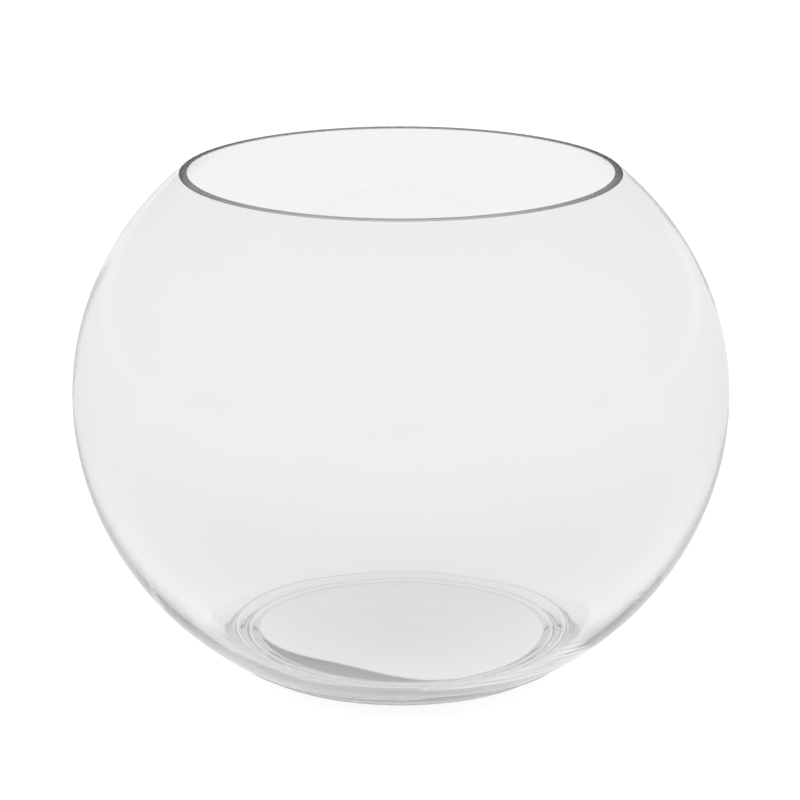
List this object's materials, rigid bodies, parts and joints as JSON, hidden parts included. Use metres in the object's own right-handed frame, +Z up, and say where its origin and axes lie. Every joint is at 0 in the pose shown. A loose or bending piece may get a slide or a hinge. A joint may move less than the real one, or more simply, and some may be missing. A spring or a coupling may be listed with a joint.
{
  "type": "round glass vase",
  "caption": "Squat ball-shaped vase of clear glass with a wide flat-cut mouth, walls that thicken downwards and a thick base on a shallow ring.",
  "frame": {"origin": "centre of the foot, on the plane of the ring that the vase stands on", "axes": "+Z up along the axis of revolution; +X and +Y level, and alike because the vase is round"},
  "size_m": [0.254, 0.254, 0.196],
  "materials": {
    "clear_glass": "fire-polished, neutral colour, with a finely ground rim"
  },
  "bodies": {
    "root": {"glass_bowl": "clear_glass"}
  },
  "joints": []
}
